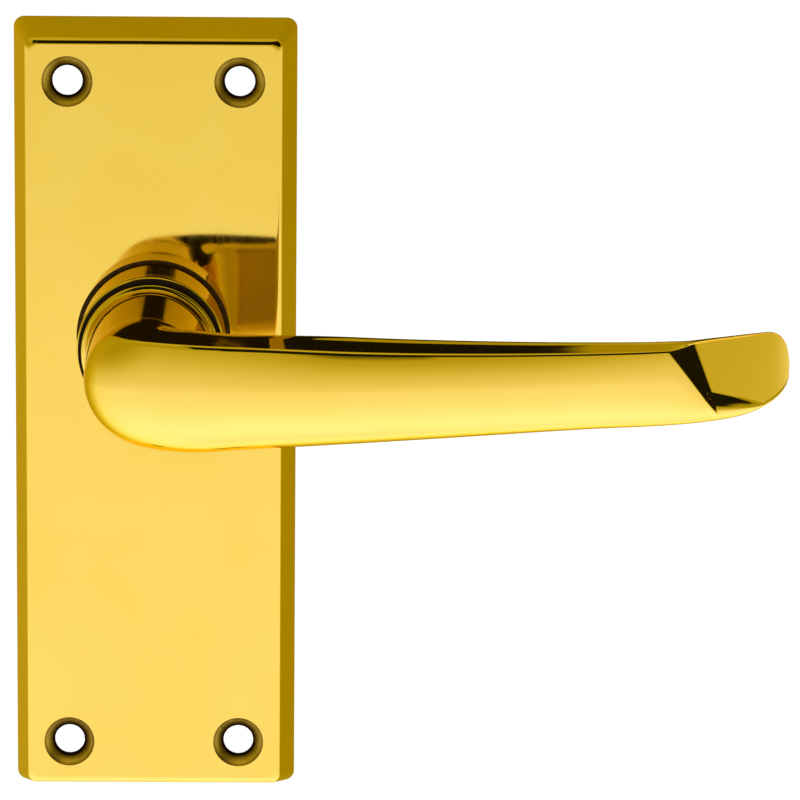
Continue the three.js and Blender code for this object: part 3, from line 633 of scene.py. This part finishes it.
def make_lever():
    """The shank, elbow and grip in one skin, with the socket, flats and set-screw hole cut in."""
    outline = section_outline(ROUND_SECTION)
    rings = [
        [Vector((-radius * p.x, y, radius * p.y)) for p in outline]
        for radius, y in shank_profile()
    ]
    rings += [elbow_ring(degrees) for degrees in range(3, 90, 3)]
    rings += [grip_ring(mix(ELBOW[0], DISH_START_X, step / 46)) for step in range(46)]
    rings += [grip_ring(mix(DISH_START_X, END_START_X, step / 120)) for step in range(120)]
    end_length = TIP_X - END_START_X
    rings += [grip_ring(TIP_X - end_length * (1 - step / 20) ** 2) for step in range(21)]
    lever = make_object("brass_lever", skin_rings(rings))
    socket = block((-SOCKET_HALF, SOCKET_END_Y, -SOCKET_HALF), (SOCKET_HALF, 1, SOCKET_HALF))
    cut(lever, make_object("socket", socket))
    for side in (-1, 1):
        near, far = sorted((side * TAIL_FLAT, side * 12))
        flat = block((near, TAIL_START_Y, -12), (far, 1, 12))
        cut(lever, make_object("flat", flat))
    hole = turned([(GRUB_RADIUS + 0.1, 12), (GRUB_RADIUS + 0.1, 0)], 64)
    cut(lever, make_object("hole", upright(hole, GRUB_MIDDLE_Y)))
    smooth(lever, 40)
    return lever


SATIN = 2
BACK_FACING = 0.35
BACK_START_X = 12


def lever_finish(centre, normal):
    """The lever is polished, but satin on the grip's back and cast where nothing is seen."""
    if centre.y > FLANGE_BACK_Y - 0.05:
        return CAST
    from_axis = max(abs(centre.x), abs(centre.z))
    in_socket = from_axis < SOCKET_HALF + 0.05 and centre.y > SOCKET_END_Y - 0.1
    from_hole = math.hypot(centre.x, centre.y - GRUB_MIDDLE_Y)
    in_hole = from_hole < GRUB_RADIUS + 0.2 and -NECK_RADIUS < centre.z < 0
    if in_socket or in_hole:
        return CAST
    on_back = normal.y > BACK_FACING and centre.x > BACK_START_X
    return SATIN if on_back else POLISHED


# ---------------------------------------------------------------- spindle, cover and screws

def upright(builder, y):
    """Turns a bmesh made about Y so that its +Y end points down, at a distance along Y."""
    bmesh.ops.rotate(builder, matrix=Matrix.Rotation(math.radians(-90), 3, "X"), verts=builder.verts)
    bmesh.ops.translate(builder, vec=(0, y, 0), verts=builder.verts)
    return builder


def make_spindle():
    """A square bar with rounded edges and chamfered ends."""
    half, chamfer, roll = SPINDLE_HIGH.x, 0.8, 0.25
    start, end = SPINDLE_LOW.y, SPINDLE_HIGH.y
    rings = [
        rounded_rectangle(start, half - chamfer, half - chamfer, roll),
        rounded_rectangle(start + chamfer, half, half, roll),
        rounded_rectangle(end - chamfer - 0.15, half, half, roll),
        rounded_rectangle(end - chamfer + 0.05, half - 0.06, half - 0.06, roll),
        rounded_rectangle(end - 0.1, half - chamfer + 0.06, half - chamfer + 0.06, roll),
        rounded_rectangle(end, half - chamfer - 0.1, half - chamfer - 0.1, roll),
    ]
    spindle = make_object("square_spindle", skin_rings(rings))
    smooth(spindle)
    return spindle


def screw_places():
    """(x, z) of the cover's four screws."""
    across, up = COVER_SCREWS
    return [(x, z) for x in (-across, across) for z in (up, -up)]


def make_cover():
    """A pressed plate with softened edges, a bore for the lever's tail and countersunk holes."""
    half_x, half_z, roll = COVER_HIGH.x, COVER_HIGH.z, 0.12
    start, end = COVER_LOW.y, COVER_HIGH.y
    corner = 0.6
    cover = make_object("pressed_rear_cover", skin_rings([
        rounded_rectangle(start, half_x - roll, half_z - roll, corner),
        rounded_rectangle(start + roll, half_x, half_z, corner),
        rounded_rectangle(end - roll, half_x, half_z, corner),
        rounded_rectangle(end, half_x - roll, half_z - roll, corner),
    ]))
    bore = turned([
        (COVER_BORE_RADIUS + roll, start - 1), (COVER_BORE_RADIUS + roll, start),
        (COVER_BORE_RADIUS, start + roll), (COVER_BORE_RADIUS, end - roll),
        (COVER_BORE_RADIUS + roll, end), (COVER_BORE_RADIUS + roll, end + 1),
    ])
    cut(cover, make_object("bore", bore))
    for x, z in screw_places():
        hole = turned([
            (COVER_SCREW_RADIUS + 0.3, start - 1), (COVER_SCREW_RADIUS + 0.3, start + 0.1),
            (COVER_SCREW_HEAD_RADIUS + 0.2, end), (COVER_SCREW_HEAD_RADIUS + 0.2, end + 1),
        ], 64, x, z)
        cut(cover, make_object("hole", hole))
    smooth(cover)
    return cover


def make_cover_screw(index):
    """A countersunk screw with a slightly domed rim and a tapered cross recess."""
    low, high = box_mm(f"cover_screw_{index + 1}")
    x, z = screw_places()[index]
    head, shank, end = high.x - x, COVER_SCREW_RADIUS, high.y
    screw = make_object(f"cross_screw_{index + 1}", turned([
        (shank - 0.4, low.y), (shank, low.y + 0.5), (shank, COVER_LOW.y + 0.05),
        (head - 0.08, end - 0.14), (head, end - 0.07), (head - 0.1, end - 0.015), (head - 0.3, end),
    ], 96, x, z))
    for half_x, half_z in ((1.6, 0.32), (0.32, 1.6)):
        arm = block((x - half_x, end - 0.75, z - half_z), (x + half_x, end + 1, z + half_z))
        for vertex in arm.verts:
            if vertex.co.y < end:
                vertex.co.x = mix(x, vertex.co.x, 0.6)
                vertex.co.z = mix(z, vertex.co.z, 0.6)
        cut(screw, make_object("arm", arm))
    smooth(screw)
    return screw


def make_grub_screw():
    """A set screw with a hexagon socket, seen under the neck."""
    foot, end = -GRUB_LOW.z, -GRUB_HIGH.z
    radius = GRUB_HIGH.x
    profile = [(radius - 0.9, end), (radius, end + 0.8), (radius, foot - 0.3), (radius - 0.3, foot)]
    screw = make_object("set_screw", upright(turned(profile, 96), GRUB_MIDDLE_Y))
    socket = turned([(1.45, foot - 2), (1.45, foot - 0.15), (1.65, foot + 1)], 6)
    cut(screw, make_object("hexagon", upright(socket, GRUB_MIDDLE_Y)))
    smooth(screw)
    return screw


# ---------------------------------------------------------------- material helpers

def node_tree(name):
    material = bpy.data.materials.new(name)
    material.use_nodes = True
    tree = material.node_tree
    tree.nodes.clear()
    output = tree.nodes.new("ShaderNodeOutputMaterial")
    shader = tree.nodes.new("ShaderNodeBsdfPrincipled")
    tree.links.new(shader.outputs["BSDF"], output.inputs["Surface"])
    return material, tree, shader


def object_coordinates(tree, scale=(1, 1, 1)):
    """Object coordinates in metres, stretched by a scale for each axis."""
    coordinates = tree.nodes.new("ShaderNodeTexCoord")
    mapping = tree.nodes.new("ShaderNodeMapping")
    mapping.inputs["Scale"].default_value = scale
    tree.links.new(coordinates.outputs["Object"], mapping.inputs["Vector"])
    return mapping.outputs["Vector"]


def noise(tree, vector, scale, detail=3, roughness=0.55):
    texture = tree.nodes.new("ShaderNodeTexNoise")
    texture.inputs["Scale"].default_value = scale
    texture.inputs["Detail"].default_value = detail
    texture.inputs["Roughness"].default_value = roughness
    tree.links.new(vector, texture.inputs["Vector"])
    return texture.outputs["Fac"]


def ramp(tree, fac, stops):
    """A colour ramp from (position, colour) stops."""
    node = tree.nodes.new("ShaderNodeValToRGB")
    elements = node.color_ramp.elements
    elements[0].position, elements[0].color = stops[0][0], (*stops[0][1], 1)
    elements[1].position, elements[1].color = stops[-1][0], (*stops[-1][1], 1)
    for position, colour in stops[1:-1]:
        elements.new(position).color = (*colour, 1)
    tree.links.new(fac, node.inputs["Fac"])
    return node.outputs["Color"]


def remap(tree, value, low, high, from_low=0.0, from_high=1.0):
    node = tree.nodes.new("ShaderNodeMapRange")
    node.inputs["From Min"].default_value = from_low
    node.inputs["From Max"].default_value = from_high
    node.inputs["To Min"].default_value = low
    node.inputs["To Max"].default_value = high
    tree.links.new(value, node.inputs["Value"])
    return node.outputs["Result"]


def math_node(tree, operation, a, b=None, clamp=False):
    node = tree.nodes.new("ShaderNodeMath")
    node.operation = operation
    node.use_clamp = clamp
    for socket, value in zip(node.inputs, (a, b)):
        if value is None:
            continue
        if isinstance(value, (int, float)):
            socket.default_value = value
        else:
            tree.links.new(value, socket)
    return node.outputs["Value"]


def bump(tree, height, distance, strength=1.0, normal=None):
    node = tree.nodes.new("ShaderNodeBump")
    node.inputs["Distance"].default_value = distance
    node.inputs["Strength"].default_value = strength
    tree.links.new(height, node.inputs["Height"])
    if normal is not None:
        tree.links.new(normal, node.inputs["Normal"])
    return node.outputs["Normal"]


def polished_brass(name, grain):
    """Mirror-polished brass under clear lacquer. grain stretches the buffing marks."""
    material, tree, shader = node_tree(name)
    marks = noise(tree, object_coordinates(tree, grain), 1.0, 4, 0.6)
    patches = noise(tree, object_coordinates(tree), 60, 2, 0.5)
    colour = ramp(tree, patches, [(0.3, (0.85, 0.635, 0.105)), (0.7, (0.88, 0.66, 0.12))])
    tree.links.new(colour, shader.inputs["Base Color"])
    tree.links.new(remap(tree, marks, 0.03, 0.07, 0.3, 0.7), shader.inputs["Roughness"])
    tree.links.new(bump(tree, marks, 0.0000004), shader.inputs["Normal"])
    shader.inputs["Metallic"].default_value = 1
    shader.inputs["Specular Tint"].default_value = (0.95, 0.78, 0.25, 1)
    return material


def satin_brass(name):
    """Brass left satin by a fine belt."""
    material, tree, shader = node_tree(name)
    marks = noise(tree, object_coordinates(tree, (90, 1200, 1200)), 1.0, 4, 0.6)
    colour = ramp(tree, marks, [(0.3, (0.72, 0.51, 0.07)), (0.7, (0.78, 0.56, 0.09))])
    tree.links.new(colour, shader.inputs["Base Color"])
    shader.inputs["Metallic"].default_value = 1
    tree.links.new(remap(tree, marks, 0.3, 0.36, 0.3, 0.7), shader.inputs["Roughness"])
    return material


def cast_brass(name):
    """The unpolished inside of the casting: dull, grained and slightly darkened."""
    material, tree, shader = node_tree(name)
    grain = noise(tree, object_coordinates(tree), 1500, 5, 0.65)
    stains = noise(tree, object_coordinates(tree), 120, 3, 0.6)
    colour = ramp(tree, stains, [(0.3, (0.34, 0.21, 0.06)), (0.7, (0.5, 0.34, 0.11))])
    tree.links.new(colour, shader.inputs["Base Color"])
    tree.links.new(remap(tree, grain, 0.42, 0.6, 0.3, 0.7), shader.inputs["Roughness"])
    tree.links.new(bump(tree, grain, 0.00004), shader.inputs["Normal"])
    shader.inputs["Metallic"].default_value = 1
    return material


def countersink_painted_shading(name):
    """Machined brass whose colour is painted light: brown at the rim, a painted bright ring of
    reflection, then painted shade that darkens with depth to near black.
    """
    material, tree, shader = node_tree(name)
    place = object_coordinates(tree)
    split = tree.nodes.new("ShaderNodeSeparateXYZ")
    tree.links.new(place, split.inputs["Vector"])
    rim_y = PLATE_LOW.y * MM
    depth = remap(tree, split.outputs["Y"], 0, 1, rim_y, rim_y + COUNTERSINK_DEPTH * MM)
    mottle = noise(tree, place, 900, 3, 0.6)
    depth = math_node(tree, "ADD", depth, remap(tree, mottle, -0.08, 0.08))
    # Painted reflection and shade by depth: a brown rim, a bright ring, then darker to near black at
    # the bottom.
    colour = ramp(tree, depth, [
        (0.0, (0.26, 0.14, 0.01)),
        (0.3, (0.75, 0.57, 0.07)),
        (0.62, (0.42, 0.29, 0.03)),
        (0.85, (0.02, 0.012, 0.004)),
    ])
    tree.links.new(colour, shader.inputs["Base Color"])
    tree.links.new(remap(tree, mottle, 0.3, 0.5), shader.inputs["Roughness"])
    tree.links.new(bump(tree, mottle, 0.00001), shader.inputs["Normal"])
    shader.inputs["Metallic"].default_value = 1
    shader.inputs["Specular Tint"].default_value = (0.5, 0.35, 0.12, 1)
    return material


def joint_painted_shade(name):
    """A dark line of painted shade in the joint around the collar."""
    material, tree, shader = node_tree(name)
    mottle = noise(tree, object_coordinates(tree), 1200, 4, 0.6)
    # Painted shade: near-black brown over the recess around the collar.
    colour = ramp(tree, mottle, [(0.3, (0.06, 0.035, 0.008)), (0.7, (0.11, 0.065, 0.014))])
    tree.links.new(colour, shader.inputs["Base Color"])
    tree.links.new(remap(tree, mottle, 0.6, 0.8), shader.inputs["Roughness"])
    tree.links.new(bump(tree, mottle, 0.00002), shader.inputs["Normal"])
    shader.inputs["Specular IOR Level"].default_value = 0.2
    return material


def bright_steel(name, colour, roughness, grain=(900, 900, 900)):
    """Steel with fine marks, only partly metallic so that it stays grey in the yellow studio."""
    material, tree, shader = node_tree(name)
    marks = noise(tree, object_coordinates(tree, grain), 1.0, 4, 0.6)
    tone = ramp(tree, marks, [
        (0.3, tuple(c * 0.85 for c in colour)),
        (0.7, colour),
    ])
    tree.links.new(tone, shader.inputs["Base Color"])
    roughness_value = remap(tree, marks, roughness * 0.8, roughness * 1.25, 0.3, 0.7)
    tree.links.new(roughness_value, shader.inputs["Roughness"])
    tree.links.new(bump(tree, marks, 0.00001), shader.inputs["Normal"])
    shader.inputs["Metallic"].default_value = 0.4
    return material


def moulded_nylon(name, colour, gloss=0.5):
    """Slightly mottled moulded plastic."""
    material, tree, shader = node_tree(name)
    mottle = noise(tree, object_coordinates(tree), 700, 3)
    tone = ramp(tree, mottle, [(0.3, tuple(c * 0.9 for c in colour)), (0.7, colour)])
    tree.links.new(tone, shader.inputs["Base Color"])
    tree.links.new(remap(tree, mottle, 0.42, 0.58), shader.inputs["Roughness"])
    tree.links.new(bump(tree, mottle, 0.00002), shader.inputs["Normal"])
    shader.inputs["Specular IOR Level"].default_value = gloss
    shader.inputs["Subsurface Weight"].default_value = 0.1
    shader.inputs["Subsurface Radius"].default_value = (0.001, 0.001, 0.001)
    return material


# ---------------------------------------------------------------- pieces

plate_brass = polished_brass("polished_brass_plate", (1400, 1400, 60))
turned_brass = polished_brass("polished_brass_turned", (300, 1600, 300))
lever_brass = polished_brass("polished_brass_lever", (90, 1200, 1200))
zinc = bright_steel("zinc_plated_steel", (0.5, 0.53, 0.58), 0.3)
drawn_zinc = bright_steel("drawn_zinc_plated_steel", (0.5, 0.53, 0.58), 0.27, (1500, 60, 1500))
steel = bright_steel("mild_steel", (0.34, 0.36, 0.4), 0.32)
spring_steel = bright_steel("spring_steel", (0.13, 0.14, 0.17), 0.35)
white_nylon = moulded_nylon("white_nylon", (0.78, 0.76, 0.7))
black_nylon = moulded_nylon("black_nylon", (0.014, 0.008, 0.003), 0.03)
raw_brass = cast_brass("cast_brass")
sink_brass = countersink_painted_shading("countersink_painted_shading")
back_brass = satin_brass("satin_brass")
joint = joint_painted_shade("joint_painted_shade")


def show(piece, body, materials, node, index_at=lambda centre, normal: 0):
    """Puts a finished piece in place of its CAD node."""
    paint(piece, materials, index_at)
    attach(piece, body)
    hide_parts(node)


plate_materials = (plate_brass, raw_brass, sink_brass, joint)
show(make_backplate(), "plate", plate_materials, "backplate", plate_finish)
show(make_collar(), "plate", (turned_brass,), "collar")
lever_materials = (lever_brass, raw_brass, back_brass)
show(make_lever(), "handle", lever_materials, "lever", lever_finish)
show(make_washer(), "handle", (black_nylon,), "thrust_washer")
show(make_spindle(), "handle", (drawn_zinc,), "spindle")
show(make_grub_screw(), "handle", (spring_steel,), "grub_screw")
show(make_cover(), "plate", (zinc,), "rear_cover")
for screw_index in range(len(screw_places())):
    screw_node = f"cover_screw_{screw_index + 1}"
    show(make_cover_screw(screw_index), "plate", (zinc,), screw_node)

NODE_MATERIALS = {
    steel: ("rest_stop_pin", "down_stop_pin", "spring_anchor_pin", "follower"),
    spring_steel: ("return_spring", "wave_washer", "retaining_ring"),
    white_nylon: ("bearing_bush",),
}
for material, names in NODE_MATERIALS.items():
    for name in names:
        nodes[name].data.materials.clear()
        nodes[name].data.materials.append(material)


# ---------------------------------------------------------------- studio

def make_floor():
    """A pale floor below the plate, left out of the brass's reflections."""
    builder = bmesh.new()
    half = 6000
    level = PLATE_LOW.z - 90
    corners = ((-half, -half), (half, -half), (half, half), (-half, half))
    builder.faces.new([builder.verts.new((x, y, level)) for x, y in corners])
    floor = make_object("floor", builder)
    material, tree, shader = node_tree("pale_floor")
    grain = noise(tree, object_coordinates(tree), 40, 2)
    tone = ramp(tree, grain, [(0.3, (0.93, 0.93, 0.93)), (0.7, (0.95, 0.95, 0.95))])
    tree.links.new(tone, shader.inputs["Base Color"])
    shader.inputs["Roughness"].default_value = 0.9
    floor.data.materials.append(material)
    floor.visible_glossy = False


def band(tree, value, low, high, soft):
    """1 between low and high and 0 outside, with soft edges."""
    rise = remap(tree, value, 0, 1, low - soft, low + soft)
    fall = remap(tree, value, 1, 0, high - soft, high + soft)
    return math_node(tree, "MULTIPLY", rise, fall)


def wall_gap(tree, side, elevation, gap):
    """1 inside one of the studio's dark gaps and 0 outside."""
    low, high, soft, bottom, top, elevation_soft = gap
    across = band(tree, side, low, high, soft)
    return math_node(tree, "MULTIPLY", across, band(tree, elevation, bottom, top, elevation_soft))


# Brightness of the studio by elevation in degrees, on the camera's side and behind the handle.
FRONT_LEVELS = (
    (-90, 1.35), (-60, 1.5), (-40, 1.4), (-20, 1.22), (-12, 1.15), (-8, 1.0), (-4, 0.9), (2, 0.72),
    (8, 0.54), (14, 0.46), (40, 0.5), (70, 0.6), (90, 0.62),
)
REAR_LEVELS = (
    (-90, 1.35), (-60, 0.9), (-30, 0.55), (-5, 0.5), (15, 0.44), (40, 0.42), (60, 0.5), (90, 0.62),
)
PEAK_LEVEL = 1.5

# Dark gaps in the studio's walls: sideways range, its softness, elevation range, its softness.
NARROW_FRONT_GAP = (-0.065, 0.085, 0.008, 9, 62, 1.5)
WIDE_FRONT_GAP = (-0.3, 0.95, 0.02, 13.5, 62, 1.5)
REAR_GAP = (-0.3, 0.2, 0.006, 7, 30.3, 0.6)
GAP_BRIGHTNESS = 0.02


def level_curve(tree, elevation, levels):
    """A smooth brightness through (elevation, level) points."""
    curve = tree.nodes.new("ShaderNodeFloatCurve")
    points = curve.mapping.curves[0].points
    places = [((degrees + 90) / 180, level / PEAK_LEVEL) for degrees, level in levels]
    points[0].location, points[1].location = places[0], places[-1]
    for place in places[1:-1]:
        points.new(*place)
    curve.mapping.update()
    tree.links.new(remap(tree, elevation, 0, 1, -90, 90), curve.inputs["Value"])
    return math_node(tree, "MULTIPLY", curve.outputs["Value"], PEAK_LEVEL)


def make_world():
    """White light for all rays but reflections, which see a shaped and tinted studio.

    The studio is bright below, dimmer and yellower above and behind, with dark gaps in its walls.
    """
    world = bpy.data.worlds.new("studio")
    bpy.context.scene.world = world
    world.use_nodes = True
    tree = world.node_tree
    tree.nodes.clear()
    output = tree.nodes.new("ShaderNodeOutputWorld")
    coordinates = tree.nodes.new("ShaderNodeTexCoord")
    split = tree.nodes.new("ShaderNodeSeparateXYZ")
    tree.links.new(coordinates.outputs["Generated"], split.inputs["Vector"])
    side, depth, height = split.outputs["X"], split.outputs["Y"], split.outputs["Z"]
    elevation = math_node(tree, "MULTIPLY", math_node(tree, "ARCSINE", height), 180 / math.pi)
    front = level_curve(tree, elevation, FRONT_LEVELS)
    rear = level_curve(tree, elevation, REAR_LEVELS)
    rear = math_node(tree, "MULTIPLY", rear, remap(tree, side, 1.3, 0.7, -1, 1))
    behind = remap(tree, depth, 0, 1, 0.45, 0.85)
    rear_part = math_node(tree, "MULTIPLY", rear, behind)
    front_part = math_node(tree, "MULTIPLY", front, math_node(tree, "SUBTRACT", 1, behind))
    level = math_node(tree, "ADD", rear_part, front_part)
    in_front = math_node(tree, "LESS_THAN", depth, 0)
    at_back = math_node(tree, "GREATER_THAN", depth, 0)
    narrow_gap = wall_gap(tree, side, elevation, NARROW_FRONT_GAP)
    wide_gap = wall_gap(tree, side, elevation, WIDE_FRONT_GAP)
    front_gap = math_node(tree, "MAXIMUM", narrow_gap, wide_gap)
    front_gap = math_node(tree, "MULTIPLY", front_gap, in_front)
    rear_gap = math_node(tree, "MULTIPLY", wall_gap(tree, side, elevation, REAR_GAP), at_back)
    gap = math_node(tree, "MAXIMUM", front_gap, rear_gap)
    level = math_node(tree, "MULTIPLY", level, remap(tree, gap, 1, GAP_BRIGHTNESS))
    tint = ramp(tree, math_node(tree, "DIVIDE", level, PEAK_LEVEL), [
        (0.0, (1.0, 0.82, 0.1)),
        (0.28, (1.0, 0.82, 0.0)),
        (0.46, (1.0, 0.84, 0.2)),
        (0.6, (1.0, 0.9, 0.62)),
        (0.67, (1.0, 0.92, 0.85)),
        (1.0, (1.0, 0.93, 1.35)),
    ])
    studio = tree.nodes.new("ShaderNodeBackground")
    tree.links.new(tint, studio.inputs["Color"])
    tree.links.new(level, studio.inputs["Strength"])
    plain = tree.nodes.new("ShaderNodeBackground")
    plain.inputs["Color"].default_value = (1, 1, 1, 1)
    plain.inputs["Strength"].default_value = 1.15
    path = tree.nodes.new("ShaderNodeLightPath")
    blend = tree.nodes.new("ShaderNodeMixShader")
    tree.links.new(path.outputs["Is Glossy Ray"], blend.inputs["Fac"])
    tree.links.new(plain.outputs["Background"], blend.inputs[1])
    tree.links.new(studio.outputs["Background"], blend.inputs[2])
    tree.links.new(blend.outputs["Shader"], output.inputs["Surface"])


CAMERA_PLACE = (25.88, -757.67, 134.75)
CAMERA_TARGET = (37.08, 0, -11.45)
CAMERA_ROLL = 0.502
CAMERA_LENS = 228.5


def make_camera():
    """A long lens, a little above the handle, that frames the one unit."""
    place = Vector(CAMERA_PLACE) * MM
    target = Vector(CAMERA_TARGET) * MM
    roll = math.radians(CAMERA_ROLL)
    back = (place - target).normalized()
    right = Vector((0, 0, 1)).cross(back).normalized()
    up = back.cross(right)
    right_rolled = right * math.cos(roll) + up * math.sin(roll)
    up_rolled = back.cross(right_rolled)
    axes = Matrix((right_rolled, up_rolled, back)).transposed()
    camera = bpy.data.cameras.new("camera")
    camera.lens = CAMERA_LENS
    camera.sensor_width = 36
    camera.clip_start = 0.01
    holder = bpy.data.objects.new("camera", camera)
    holder.matrix_world = Matrix.Translation(place) @ axes.to_4x4()
    bpy.context.scene.collection.objects.link(holder)
    bpy.context.scene.camera = holder


make_floor()
make_world()
make_camera()
bpy.context.scene.view_settings.view_transform = "Standard"
